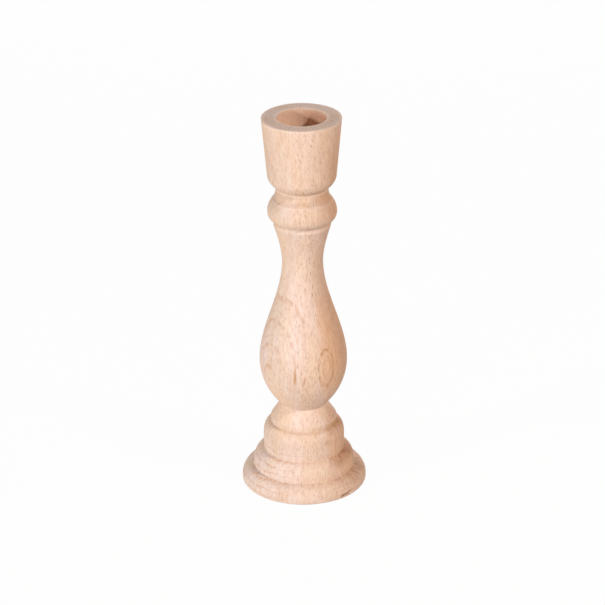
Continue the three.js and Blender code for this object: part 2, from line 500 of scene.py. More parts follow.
class WoodEffects:
    """The node groups that every beech in the scene shares, each built once, in millimetres."""

    VECTORS = frozenset({"Position", "Pith", "Grain", "Place", "Fan", "Polar", "Cell Size"})
    RAY_RADIUS = 75.0
    LEAN_START = 100.0
    GRAIN_SLANT = 0.08
    FAN_SHARE = 0.5
    FAN_RADIUS = 7.0
    EYE_LINE = (0.4, 0.93, 0.95)
    EYE_CENTRE = 0.3
    FAINT_LINE = 0.15
    RING_LINE = (0.45, 0.95, 0.96)
    RING_SHARPNESS = 2.5
    RING_SQUEEZE = 0.06
    PORE_HATCHES = ((0.14, (1.3, 1.3, 0.26)), (-0.16, (1.7, 1.7, 0.34)))
    HEART_WANDER = 4.0
    HEART_EDGE_SHARE = 0.65
    HEART_DEEP_SHARE = 0.35
    LEVEL_MARK_SHARE = 0.8

    def __init__(self) -> None:
        """Builds the groups."""
        self.grain = self._grain_frame()
        self.eye = self._growth_eye()
        self.spot = self._soft_spot()
        self.rings = self._growth_rings()
        self.flecks = self._ray_flecks()
        self.fibre = self._fibre()
        self.heart = self._heart_zone()
        self.lathe_marks = self._lathe_marks()

    def _sockets(self, tree: bpy.types.NodeTree, in_out: str, labels: Iterable[str]) -> None:
        """Makes the sockets on one side of a node group.

        Args:
            tree: The group.
            in_out: INPUT or OUTPUT.
            labels: The sockets' names.
        """
        for label in labels:
            kind = SocketKind.VECTOR if label in self.VECTORS else SocketKind.VALUE
            tree.interface.new_socket(label, in_out=in_out, socket_type=kind.value)

    def _start(self, name: str, *inputs: str) -> tuple[Nodes, bpy.types.NodeOutputs]:
        """Starts a node group.

        Args:
            name: The group's name.
            inputs: The names of its inputs.

        Returns:
            A placer for its nodes and the sockets that bring its inputs.
        """
        tree = bpy.data.node_groups.new(name, "ShaderNodeTree")
        self._sockets(tree, "INPUT", inputs)
        return Nodes(tree), tree.nodes.new("NodeGroupInput").outputs

    def _finish(self, nodes: Nodes, results: dict[str, Value]) -> bpy.types.NodeTree:
        """Gives a node group its outputs.

        Args:
            nodes: Placer for the group's nodes.
            results: What feeds each output, by its name.

        Returns:
            The group.
        """
        self._sockets(nodes.tree, "OUTPUT", results)
        nodes.add("NodeGroupOutput", results)
        return nodes.tree

    def _grain_frame(self) -> bpy.types.NodeTree:
        """Builds the group that turns a place into the tree's and the lathe's own directions.

        Returns:
            The group, in millimetres: along the rays' spread, up the trunk and out from the pith; the
            fan that the fibres follow; and the angle from the front, radius and height on the lathe.
        """
        nodes, given = self._start("beech_grain_frame", "Position", "Pith", "Sway", "Lean")
        place = nodes.vector("MULTIPLY", given["Position"], (1 / MM, 1 / MM, 1 / MM))
        wander = nodes.noise(place, scale=(0.045, 0.045, 0.02), detail=1.5)["Color"]
        wander = nodes.vector("SUBTRACT", wander, (nodes.MEAN_NOISE,) * 3)
        sway = nodes.vector("MULTIPLY", wander, nodes.join(given["Sway"], given["Sway"]))
        spread = nodes.vector("SUBTRACT", nodes.vector("ADD", place, sway), given["Pith"])
        radius = nodes.reach(spread)
        height = nodes.split(spread)["Z"]
        above = nodes.excess(height, self.LEAN_START)
        lean = nodes.product(above, above, given["Lean"])
        slant = nodes.math("SUBTRACT", lean, nodes.math("MULTIPLY", height, self.GRAIN_SLANT))
        along = nodes.scaled(nodes.bearing(spread), self.RAY_RADIUS, slant)
        out = nodes.reach(place)
        shrink = nodes.math("DIVIDE", self.FAN_RADIUS, nodes.math("MAXIMUM", out, 1))
        shrink = nodes.math("ADD", shrink, self.FAN_SHARE)
        fan = nodes.vector("MULTIPLY", place, nodes.join(shrink, shrink, 1.0))
        return self._finish(nodes, {
            "Grain": nodes.join(along, height, radius),
            "Radius": radius,
            "Place": place,
            "Fan": nodes.vector("ADD", fan, sway),
            "Polar": nodes.join(nodes.bearing(place), out, nodes.split(place)["Z"]),
        })

    @staticmethod
    def _offset(nodes: Nodes, given: bpy.types.NodeOutputs) -> tuple[Socket, Socket]:
        """Measures a place from the middle of a mark on the turned skin.

        Args:
            nodes: Placer for the group's nodes.
            given: The group's inputs, with Polar, Azimuth and Height among them.

        Returns:
            How far the place lies to the right of that middle and above it, in millimetres.
        """
        polar = nodes.split(given["Polar"])
        turn = nodes.math("SUBTRACT", polar["X"], nodes.math("RADIANS", given["Azimuth"]))
        return nodes.product(turn, polar["Y"]), nodes.math("SUBTRACT", polar["Z"], given["Height"])

    @staticmethod
    def _ring_line(nodes: Nodes, count: Socket, sharpness: Value, span: Triple) -> Socket:
        """Draws the dark line at the end of each ring.

        Args:
            nodes: Placer for the group's nodes.
            count: How many rings lie inside each place.
            sharpness: How thin the line is.
            span: Shares of the ring at which the line starts, is darkest and starts to end.

        Returns:
            How strongly the line shows.
        """
        start, darkest, end = span
        share = nodes.math("FRACT", count)
        line = nodes.math("POWER", nodes.step(share, start, darkest), sharpness)
        return nodes.product(line, nodes.step(share, 1.0, end))

    def _growth_eye(self) -> bpy.types.NodeTree:
        """Builds the group of nested growth lines round one spot, whole or as arches.

        Returns:
            The group: how strongly a line shows, with what shows already.
        """
        nodes, given = self._start("growth_eye", "Polar", "Show", *Eye.labels().values())
        across, above = self._offset(nodes, given)
        place = nodes.join(across, above, given["Azimuth"])
        right = nodes.math("DIVIDE", across, given["Half Width"])
        up = nodes.math("DIVIDE", above, given["Half Height"])
        far = nodes.vector("LENGTH", nodes.join(right, up))
        wobble = nodes.wander(place, scale=(0.17, 0.12, 1.0))
        count = nodes.scaled(wobble, given["Wobble"], far)
        line = self._ring_line(nodes, count, given["Sharpness"], self.EYE_LINE)
        last = nodes.math("LESS_THAN", count, given["Rings"])
        outside = nodes.math("MAXIMUM", far, self.EYE_CENTRE)
        side = nodes.math("DIVIDE", nodes.product(up, given["Upright"]), outside)
        whole = nodes.rest(nodes.math("ABSOLUTE", given["Upright"]))
        shown = nodes.math("MAXIMUM", nodes.step(side, start=0.3, end=0.85), whole)
        near = nodes.math("DIVIDE", across, given["Reach"])
        near = nodes.fade(nodes.product(near, near))
        clear = nodes.patches(place, scale=(0.5, 0.35, 2.0), start=0.36, end=0.6)
        clear = nodes.scaled(clear, 1 - self.FAINT_LINE, self.FAINT_LINE)
        line = nodes.product(line, clear, last, shown, near, given["Clarity"])
        return self._finish(nodes, {"Show": nodes.math("MAXIMUM", line, given["Show"])})

    def _soft_spot(self) -> bpy.types.NodeTree:
        """Builds the group of one soft-edged streak or patch on the turned skin.

        Returns:
            The group: how strongly it shows, with what shows already.
        """
        nodes, given = self._start("soft_spot", "Polar", "Show", *Spot.labels().values())
        across, above = self._offset(nodes, given)
        across = nodes.math("SUBTRACT", across, nodes.product(above, given["Lean"]))
        right = nodes.math("DIVIDE", across, given["Half Width"])
        away = nodes.join(right, nodes.math("DIVIDE", above, given["Half Height"]))
        fade = nodes.fade(nodes.vector("DOT_PRODUCT", away, away))
        return self._finish(nodes, {"Show": nodes.scaled(fade, given["Share"], given["Show"])})

    def _growth_rings(self) -> bpy.types.NodeTree:
        """Builds the group of growth rings, wavy, broken in places and closer together further out.

        Returns:
            The group: the dark line at each ring's end, and a tint that drifts from ring to ring.
        """
        nodes, given = self._start("growth_rings", "Radius", "Grain", "Spacing", "Narrow From", "Wave")
        wave = nodes.wander(given["Grain"], scale=(0.55, 0.12, 0.2), detail=3.0, roughness=0.6)
        radius = nodes.scaled(wave, given["Wave"], given["Radius"])
        outer = nodes.excess(radius, given["Narrow From"])
        count = nodes.math("DIVIDE", radius, given["Spacing"])
        count = nodes.scaled(nodes.product(outer, outer), self.RING_SQUEEZE, count)
        line = self._ring_line(nodes, count, self.RING_SHARPNESS, self.RING_LINE)
        clear = nodes.patches(given["Grain"], scale=(0.3, 0.06, 0.1), start=0.36, end=0.58)
        tint = nodes.step(nodes.drift(count, scale=0.8, detail=0.0), start=0.35, end=0.65)
        return self._finish(nodes, {"Line": nodes.product(line, clear), "Tint": tint})

    def _ray_flecks(self) -> bpy.types.NodeTree:
        """Builds the group of ray flecks: thin upright ribbons that show as short dashes.

        Returns:
            The group: how strongly a fleck shows, most of all in a band to one side and high up.
        """
        nodes, given = self._start(
            "ray_flecks",
            *("Grain", "Place", "Cell Size", "Half Width", "Half Length", "Share", "Band", "Centre"),
        )
        cells = nodes.vector("DIVIDE", given["Grain"], given["Cell Size"])
        voronoi = {"Vector": cells, "Scale": 1.0, "Randomness": 1.0}
        cell = nodes.add("ShaderNodeTexVoronoi", voronoi).outputs
        off = nodes.vector("SUBTRACT", cells, cell["Position"])
        off = nodes.split(nodes.vector("MULTIPLY", off, given["Cell Size"]))
        chance = nodes.add("ShaderNodeSeparateColor", {0: cell["Color"]}).outputs
        length = nodes.scaled(chance["Green"], gain=1.1, base=0.4)
        across = nodes.math("DIVIDE", off["X"], given["Half Width"])
        along = nodes.math("DIVIDE", off["Y"], nodes.product(given["Half Length"], length))
        dash = nodes.step(nodes.vector("LENGTH", nodes.join(across, along)), start=1.15, end=0.35)
        place = nodes.split(given["Place"])
        side = nodes.math("ABSOLUTE", nodes.math("SUBTRACT", place["X"], given["Centre"]))
        band = nodes.step(nodes.math("DIVIDE", side, given["Band"]), start=1.6, end=0.7)
        within = nodes.scaled(band, gain=0.7, base=0.3)
        high = nodes.scaled(nodes.step(place["Z"], start=10, end=50), gain=0.5, base=0.5)
        share = nodes.product(given["Share"], within, high)
        kept = nodes.math("LESS_THAN", chance["Red"], share)
        depth = nodes.scaled(chance["Blue"], gain=0.6, base=0.4)
        depth = nodes.product(depth, nodes.scaled(band, gain=0.6, base=0.4))
        return self._finish(nodes, {"Fleck": nodes.product(dash, kept, depth)})

    def _fibre(self) -> bpy.types.NodeTree:
        """Builds the group of long fibre streaks.

        Returns:
            The group: broad streaks, short pores, fine fibres, a slow figure, a cross mottle and the
            ribs that run up a shoulder.
        """
        nodes, given = self._start("beech_fibre", "Fan", "Polar")
        fan = given["Fan"]
        rise = nodes.split(fan)["Z"]
        pores = []
        for lean, scale in self.PORE_HATCHES:
            leaning = nodes.vector("ADD", fan, nodes.join(nodes.product(rise, lean)))
            pores.append(nodes.patches(leaning, scale, start=0.5, end=0.68, roughness=0.6))
        streak = nodes.noise(fan, scale=(0.85, 0.85, 0.07), detail=3.0, roughness=0.6)[0]
        return self._finish(nodes, {
            "Streak": nodes.step(streak, start=0.36, end=0.66),
            "Pore": nodes.math("MAXIMUM", *pores),
            "Fine": nodes.noise(fan, scale=(7.0, 7.0, 0.6))[0],
            "Figure": nodes.patches(fan, scale=(0.15, 0.15, 0.03), start=0.36, end=0.66),
            "Mottle": nodes.patches(fan, scale=(0.45, 0.45, 0.85), start=0.4, end=0.65),
            "Rib": nodes.patches(given["Polar"], scale=(26.0, 0.2, 0.2), start=0.42, end=0.62),
        })

    def _heart_zone(self) -> bpy.types.NodeTree:
        """Builds the group that finds the darker heartwood on one side of a wandering edge, where it also
        paints the shade of that side.

        Returns:
            The group: how far each place takes the heartwood tint and painted shade.
        """
        nodes, given = self._start("heart_zone", "Place", "Edge", "Flare From", "Flare")
        wander = nodes.wander(given["Place"], scale=(0.12, 0.12, 0.05))
        place = nodes.split(given["Place"])
        below = nodes.excess(given["Flare From"], place["Z"])
        edge = nodes.scaled(below, given["Flare"], given["Edge"])
        side = nodes.scaled(wander, self.HEART_WANDER, nodes.math("SUBTRACT", place["X"], edge))
        deep = nodes.product(nodes.step(side, start=0.0, end=7.0), self.HEART_DEEP_SHARE)
        share = nodes.scaled(nodes.step(side, start=-0.8, end=0.8), self.HEART_EDGE_SHARE, deep)
        return self._finish(nodes, {"Share": share})

    def _lathe_marks(self) -> bpy.types.NodeTree:
        """Builds the group of fine rings left by the lathe tool and the sandpaper.

        Returns:
            The group: how high each ring stands.
        """
        nodes, given = self._start("lathe_marks", "Place", "Per mm")
        height = nodes.split(given["Place"])["Z"]
        path = nodes.scaled(nodes.reach(given["Place"]), self.LEVEL_MARK_SHARE, height)
        mark = nodes.drift(nodes.product(path, given["Per mm"]), scale=1.0, detail=2.0)
        return self._finish(nodes, {"Mark": mark})


@dataclass(frozen=True)
class BeechFinish:
    """Bare steamed beech with its grain, flecks, end grain and lathe marks, and with painted shade and
    highlights.
    """

    name: str
    pale: Triple = (0.91, 0.715, 0.605)
    straw: Triple = (0.90, 0.68, 0.505)
    rosy: Triple = (0.83, 0.565, 0.425)
    late: Triple = (0.66, 0.39, 0.25)
    fleck: Triple = (0.48, 0.22, 0.10)
    eye: Triple = (0.62, 0.32, 0.16)
    stain: Triple = (0.68, 0.43, 0.24)
    # Painted shade in the foot's crack.
    crack: Triple = (0.26, 0.15, 0.09)
    # Heartwood tints, which also paint the shade on the right side and, darker, on its level cuts.
    heart_tone: Triple = (1.0, 0.85, 0.71)
    heart_end_and_shade_tone: Triple = (0.50, 0.36, 0.28)
    # Painted shade: darkens the collar and bead under the cup, the grooves and creases, and the far sides.
    painted_shade_tone: Triple = (0.82, 0.79, 0.75)
    # Paler sapwood, which also paints the highlights on the collar's arris, the fillet and the base's cone.
    sap_and_highlight_tone: Triple = (1.0, 1.06, 1.16)
    end_tone: Triple = (1.0, 1.05, 1.14)
    drilled: Triple = (1.0, 0.72, 0.51)
    # Darker right wall of the socket: its heartwood tint, partly painted shade.
    drilled_heart: Triple = (0.84, 0.42, 0.22)
    # Painted shade in grooves and creases.
    crease_shade_tone: Triple = (0.96, 0.95, 0.94)
    pith: Triple = (1.5, 60.0, 0.0)
    sway: float = 5.0
    lean: float = 0.0042
    streak_share: float = 0.55
    pore_share: float = 0.42
    extra_low_pores: float = 0.04
    mottle_share: float = 0.2
    rib_share: float = 0.75
    between_ribs: float = 0.4
    ring_spacing: float = 2.6
    ring_wave: float = 1.6
    narrow_from: float = 82.0
    ring_clarity: float = 0.1
    ring_tint: float = 0.12
    fleck_cell: Triple = (1.7, 3.3, 21.0)
    fleck_half_width: float = 0.23
    fleck_half_length: float = 1.05
    fleck_share: float = 0.5
    fleck_band: float = 4.5
    fleck_centre: float = 1.5
    fleck_clarity: float = 0.8
    heart_edge: float = 6.5
    heart_flare_from: float = 80.0
    heart_flare: float = 0.072
    heart_share: float = 0.15
    low_top: float = 45.0
    low_floor: float = 20.0
    drilled_edge: float = 1.0
    drilled_share: float = 0.6
    torn_share: float = 0.22
    frayed_share: float = 0.45
    # Rubbed edges, lighter, which also paints highlights on the arrises.
    rubbed_highlight_share: float = 0.35
    # Fresh wood of the socket's flake, lighter, with a painted glint.
    flaked_glint_share: float = 0.9
    crack_shade_share: float = 0.8
    roughness: float = 0.54
    fine_roughness: float = 0.16
    end_roughness: float = 0.12
    rubbed_polish: float = 0.1
    specular: float = 0.35
    marks_per_mm: float = 2.6
    relief: float = 0.05
    relief_strength: float = 0.6
    fine_height: float = 0.5
    mark_height: float = 0.5
    pore_depth: float = 0.3
    fleck_depth: float = 0.8
    eyes: tuple[Eye, ...] = ()
    heart_spots: tuple[Spot, ...] = ()
    sap_and_highlight_spots: tuple[Spot, ...] = ()
    painted_shade_spots: tuple[Spot, ...] = ()
    stains: tuple[Spot, ...] = ()
    streaks: tuple[Spot, ...] = ()

    def build(self, effects: WoodEffects) -> bpy.types.Material:
        """Makes the material.

        Args:
            effects: The node groups to place.

        Returns:
            The material.
        """
        material = bpy.data.materials.new(self.name)
        nodes = Nodes.emptied(material)
        position = nodes.add("ShaderNodeTexCoord").outputs["Object"]
        growth = {"Position": position, "Pith": self.pith, "Sway": self.sway, "Lean": self.lean}
        grain = nodes.group(effects.grain, growth)
        fibre = nodes.group(effects.fibre, {"Fan": grain["Fan"], "Polar": grain["Polar"]})
        fleck = self._flecks(nodes, effects, grain)
        colour = self._worked(nodes, self._wood(nodes, effects, grain, fibre, fleck))
        turning = {"Place": grain["Place"], "Per mm": self.marks_per_mm}
        mark = nodes.group(effects.lathe_marks, turning)["Mark"]
        rough = nodes.scaled(fibre["Fine"], self.fine_roughness, self.roughness)
        rough = nodes.scaled(nodes.layer(Layer.END_CUT), self.end_roughness, rough)
        on_edge = nodes.step(nodes.layer(Layer.WEAR), start=0.1, end=0.9)
        rough = nodes.scaled(on_edge, -self.rubbed_polish, rough)
        height = nodes.product(fibre["Fine"], self.fine_height)
        height = nodes.scaled(fibre["Streak"], -self.pore_depth, height)
        height = nodes.scaled(fibre["Pore"], -self.pore_depth, height)
        height = nodes.scaled(fleck, -self.fleck_depth, height)
        height = nodes.scaled(mark, self.mark_height, height)
        relief = {"Height": height, "Strength": self.relief_strength, "Distance": self.relief * MM}
        normal = nodes.add("ShaderNodeBump", relief).outputs[0]
        looks = {"Base Color": colour, "Roughness": rough, "Normal": normal}
        looks["Specular IOR Level"] = self.specular
        shader = nodes.add("ShaderNodeBsdfPrincipled", looks)
        nodes.add("ShaderNodeOutputMaterial", {"Surface": shader.outputs[0]})
        return material

    def _flecks(self, nodes: Nodes, effects: WoodEffects, grain: bpy.types.NodeOutputs) -> Socket:
        """Strews ray flecks over the skin, none on end grain and fainter ones in the socket.

        Args:
            nodes: Placer for the material's nodes.
            effects: The node groups.
            grain: Outputs of the grain frame.

        Returns:
            Where a ray fleck shows.
        """
        strewn = {
            "Grain": grain["Grain"], "Place": grain["Place"], "Cell Size": self.fleck_cell,
            "Half Width": self.fleck_half_width, "Half Length": self.fleck_half_length,
            "Share": self.fleck_share, "Band": self.fleck_band, "Centre": self.fleck_centre,
        }
        end_cut, drilled = nodes.layer(Layer.END_CUT), nodes.layer(Layer.DRILLED)
        covered = nodes.scaled(drilled, self.drilled_share, end_cut)
        return nodes.product(nodes.group(effects.flecks, strewn)["Fleck"], nodes.rest(covered))

    def _wood(
        self,
        nodes: Nodes,
        effects: WoodEffects,
        grain: bpy.types.NodeOutputs,
        fibre: bpy.types.NodeOutputs,
        fleck: Socket,
    ) -> Socket:
        """Lays the colours of the grown wood over each other, with painted shade and painted highlights
        among them.

        Args:
            nodes: Placer for the material's nodes.
            effects: The node groups.
            grain: Outputs of the grain frame.
            fibre: Outputs of the fibre group.
            fleck: Where a ray fleck shows.

        Returns:
            The wood's colour, painted shade and highlights included.
        """
        def gather(marks: tuple[SkinMark, ...], tree: bpy.types.NodeTree, start: float = 0.0) -> Value:
            """Adds up marks of one kind over the skin, on top of a start value."""
            return reduce(lambda show, mark: mark.place(nodes, tree, grain["Polar"], show), marks, start)

        def find_heart_and_shade(edge: float, flare_from: float = 0.0, flare: float = 0.0) -> Socket:
            """Finds the heartwood tint and painted shade to the right of an edge that flares out lower down.
            """
            zone = {"Place": grain["Place"], "Edge": edge, "Flare From": flare_from, "Flare": flare}
            return nodes.group(effects.heart, zone)["Share"]

        growth = {"Radius": grain["Radius"], "Grain": grain["Grain"], "Spacing": self.ring_spacing}
        growth |= {"Narrow From": self.narrow_from, "Wave": self.ring_wave}
        rings = nodes.group(effects.rings, growth)
        zone = find_heart_and_shade(self.heart_edge, self.heart_flare_from, self.heart_flare)
        depth = nodes.math("MINIMUM", gather(self.heart_spots, effects.spot, self.heart_share), 1)
        heart = nodes.product(zone, depth, nodes.rest(nodes.layer(Layer.END_CUT)))
        low = nodes.step(nodes.split(grain["Place"])["Z"], self.low_top, self.low_floor)
        colour = nodes.mix(fibre["Figure"], self.pale, self.straw)
        colour = nodes.mix(nodes.product(fibre["Streak"], self.streak_share), colour, self.rosy)
        colour = nodes.mix(nodes.product(rings["Tint"], self.ring_tint), colour, self.rosy)
        pores = nodes.scaled(low, self.extra_low_pores, self.pore_share)
        colour = nodes.mix(nodes.product(fibre["Pore"], pores), colour, self.late)
        # Paler sapwood patches and painted highlights.
        colour = nodes.tone(gather(self.sap_and_highlight_spots, effects.spot), colour, self.sap_and_highlight_tone)
        # Painted shade under the cup, in the grooves and creases and down the far sides.
        colour = nodes.tone(gather(self.painted_shade_spots, effects.spot), colour, self.painted_shade_tone)
        colour = nodes.mix(gather(self.stains, effects.spot), colour, self.stain)
        # Heartwood tint, which also paints the shade on the right side.
        colour = nodes.tone(heart, colour, self.heart_tone)
        # Painted shade on the level cuts of the right side, broken by the heartwood's ribs.
        cut = nodes.product(heart, nodes.step(nodes.layer(Layer.TILT), start=0.15, end=0.85), low)
        ribs = nodes.product(cut, nodes.scaled(fibre["Rib"], self.rib_share, self.between_ribs))
        colour = nodes.tone(ribs, colour, self.heart_end_and_shade_tone)
        colour = nodes.mix(nodes.product(fibre["Mottle"], heart, self.mottle_share), colour, self.rosy)
        colour = nodes.mix(nodes.product(rings["Line"], self.ring_clarity), colour, self.late)
        colour = nodes.mix(gather(self.eyes, effects.eye), colour, self.eye)
        drilled = nodes.layer(Layer.DRILLED)
        # The socket's right wall is darker, a heartwood tint that also paints shade there.
        socket = nodes.mix(find_heart_and_shade(self.drilled_edge), self.drilled, self.drilled_heart)
        colour = nodes.mix(nodes.product(drilled, self.drilled_share), colour, socket)
        torn = nodes.math("MAXIMUM", fibre["Streak"], fibre["Pore"])
        colour = nodes.mix(nodes.product(torn, drilled, self.torn_share), colour, self.late)
        frayed = nodes.product(fibre["Mottle"], drilled, self.frayed_share)
        colour = nodes.mix(frayed, colour, self.pale)
        colour = nodes.mix(gather(self.streaks, effects.spot), colour, self.eye)
        return nodes.mix(nodes.product(fleck, self.fleck_clarity), colour, self.fleck)

    def _worked(self, nodes: Nodes, colour: Value) -> Socket:
        """Shades what the saw, the drill, hands and knocks did to the wood, and paints shade in the grooves
        and the crack and highlights on the edges and the flake.

        Args:
            nodes: Placer for the material's nodes.
            colour: The wood's own colour.

        Returns:
            The worked colour.
        """
        wear_and_shading, broken = nodes.layer(Layer.WEAR), nodes.layer(Layer.BROKEN)
        on_edge = nodes.product(nodes.step(wear_and_shading, start=0.15, end=0.9), self.rubbed_highlight_share)
        flake_glint = nodes.product(nodes.step(broken, start=0.0, end=-1.0), self.flaked_glint_share)
        crack_shade = nodes.product(nodes.step(broken, start=0.2, end=1.0), self.crack_shade_share)
        colour = nodes.tone(nodes.layer(Layer.END_CUT), colour, self.end_tone)
        # Painted shade in the grooves and creases.
        colour = nodes.tone(nodes.step(wear_and_shading, start=-0.15, end=-1.0), colour, self.crease_shade_tone)
        # Rubbed edges lighter, partly wear and partly painted highlights on the arrises.
        colour = nodes.mix(on_edge, colour, self.pale)
        # The flake's fresh wood, lightened with a painted glint.
        colour = nodes.mix(flake_glint, colour, self.pale)
        # Painted shade in the foot's crack.
        return nodes.mix(crack_shade, colour, self.crack)


@dataclass(frozen=True)
class Skin:
    """The points of a turned skin by row and turn: angle in radians, turned radius and height."""

    angle: np.ndarray
    radius: np.ndarray
    height: np.ndarray

    def turn(self, start: float) -> np.ndarray:
        """Gives each point's angle from a direction, from -180 to 180 degrees."""
        return (np.degrees(self.angle) - start + 180) % 360 - 180


@dataclass
class TurnedPiece(ABC):
    """A piece turned round the lathe axis, with its sizes in millimetres."""

    material: bpy.types.Material
    seat: float = 0.0
    node: str = ""
    slot: Slot = Slot.TURNED
    facets: int = 256

    @abstractmethod
    def outline(self) -> Outline:
        """Traces the piece's half section, from its seat upwards."""

    def worn(self, skin: Skin) -> np.ndarray:
        """Gives the radius that chips and dents leave; a sound piece has none."""
        return skin.radius

    def marks(self, skin: Skin) -> dict[Layer, np.ndarray]:
        """Gives the layers of drilled and broken places on the skin; a plain piece has none."""
        return {}

    @property
    def joint(self) -> float:
        """Height above the table of the joint on top of the piece."""
        return self.seat + self.outline().joint

    def build(self) -> bpy.types.Object:
        """Makes the piece's object and puts it in the frame in place of its solid.

        Returns:
            The object.
        """
        section = np.array(self.outline().eased())
        piece = put(f"{self.node}_piece", self._mesh(section))
        piece.data.materials.append(self.material)
        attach(piece, ROOT_BODY)
        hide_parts(self.node)
        return piece

    def _mesh(self, section: np.ndarray) -> bpy.types.Mesh:
        """Turns a half section round the axis.

        Args:
            section: Radius and height of each point, the first and last on the axis.

        Returns:
            The mesh, closed, with its bake map and the layers that its finish reads.
        """
        turns = np.arange(self.facets) * (2 * math.pi / self.facets)
        inner = section[1:-1]
        angle, radius = np.meshgrid(turns, inner[:, 0])
        skin = Skin(angle, radius, np.repeat(inner[:, 1:2], self.facets, axis=1))
        left = self.worn(skin)
        grid = np.stack((left * np.cos(angle), left * np.sin(angle), skin.height), axis=-1).reshape(-1, 3)
        ends = [[0, 0, section[0, 1]], [0, 0, section[-1, 1]]]
        points = (np.vstack((grid, ends)) + [0, 0, self.seat]) * MM
        faces, corners = self._faces(len(inner))
        mesh = bpy.data.meshes.new(f"{self.node}_turned")
        mesh.from_pydata(points.tolist(), [], faces)
        mesh.polygons.foreach_set("use_smooth", [True] * len(faces))
        self._map(mesh, section, corners)
        rows = {
            Layer.WEAR: self._wear(section),
            Layer.END_CUT: self._end_cut(section),
            Layer.TILT: self._tilt(section),
        }
        layers = {layer: np.repeat(values[:, None], self.facets, axis=1) for layer, values in rows.items()}
        for layer, values in {**layers, **self.marks(skin)}.items():
            store = mesh.attributes.new(layer.value, "FLOAT", "POINT")
            store.data.foreach_set("value", np.concatenate((values.ravel(), [0, 0])))
        mesh.update()
        return mesh

    def _faces(self, rows: int) -> tuple[list[list[int]], list[list[tuple[int, int]]]]:
        """Joins the rows of points with faces.

        Args:
            rows: How many rows of points there are between the two ends.

        Returns:
            The faces, and each face corner's place as row and turn, counted from the first end.
        """
        ends = {0: rows * self.facets, rows + 1: rows * self.facets + 1}

        def number(row: int, turn: int) -> int:
            """Gives the number of the point at a row and a turn."""
            return ends.get(row, (row - 1) * self.facets + turn % self.facets)

        corners: list[list[tuple[int, int]]] = []
        for k in range(self.facets):
            corners.append([(0, k), (1, k + 1), (1, k)])
            corners += [[(row, k), (row, k + 1), (row + 1, k + 1), (row + 1, k)] for row in range(1, rows)]
            corners.append([(rows, k), (rows, k + 1), (rows + 1, k)])
        return [[number(*corner) for corner in face] for face in corners], corners

    def _map(self, mesh: bpy.types.Mesh, section: np.ndarray, corners: list[list[tuple[int, int]]]) -> None:
        """Gives the mesh its bake map, the turned skin laid out flat.

        Args:
            mesh: The mesh.
            section: Its half section.
            corners: Each face corner's place as row and turn.
        """
        travel = np.concatenate(([0], np.cumsum(np.hypot(*np.diff(section, axis=0).T))))
        travel = travel / travel[-1]
        layout = [(turn / self.facets, travel[row]) for face in corners for row, turn in face]
        layer = mesh.uv_layers.new(name=BAKE_MAP)
        layer.data.foreach_set("uv", np.array(layout).ravel())

    @staticmethod
    def _wear(section: np.ndarray) -> np.ndarray:
        """Finds how far each row stands out on an edge or lies in a groove.

        Args:
            section: The half section.

        Returns:
            Each row's wear and shading, from -1 in a groove, where the finish paints shade, to 1 on an edge,
            where it paints a highlight and polish.
        """
        runs = np.diff(section, axis=0)
        travel = np.concatenate(([0], np.cumsum(np.hypot(*runs.T))))
        turn = np.diff(np.unwrap(np.arctan2(runs[:, 1], runs[:, 0])))
        away = (travel[1:-1, None] - travel[None, 1:-1]) / WEAR_REACH
        return np.clip(np.exp(-away**2) @ turn / FULL_WEAR_TURN, -1, 1)

    @staticmethod
    def _tilt(section: np.ndarray) -> np.ndarray:
        """Finds how level each row of a half section lies, from 0 upright to 1 level."""
        across = section[2:] - section[:-2]
        return np.abs(across[:, 0]) / np.maximum(np.hypot(*across.T), TINY)

    @staticmethod
    def _end_cut(section: np.ndarray) -> np.ndarray:
        """Finds the rows that lie on a level cut, across the fibres.

        Args:
            section: The half section.

        Returns:
            Each row's share of end grain, from 0 to 1.
        """
        runs = np.diff(section, axis=0)
        length = np.hypot(*runs.T)
        middle = np.cumsum(length) - length / 2
        level = np.abs(runs[:, 1]) < LEVEL_RISE
        travel = np.cumsum(length)[:-1]
        near = np.exp(-(((travel[:, None] - middle) / END_CUT_REACH) ** 2)) * length
        return near @ level / np.maximum(near.sum(axis=1), TINY)


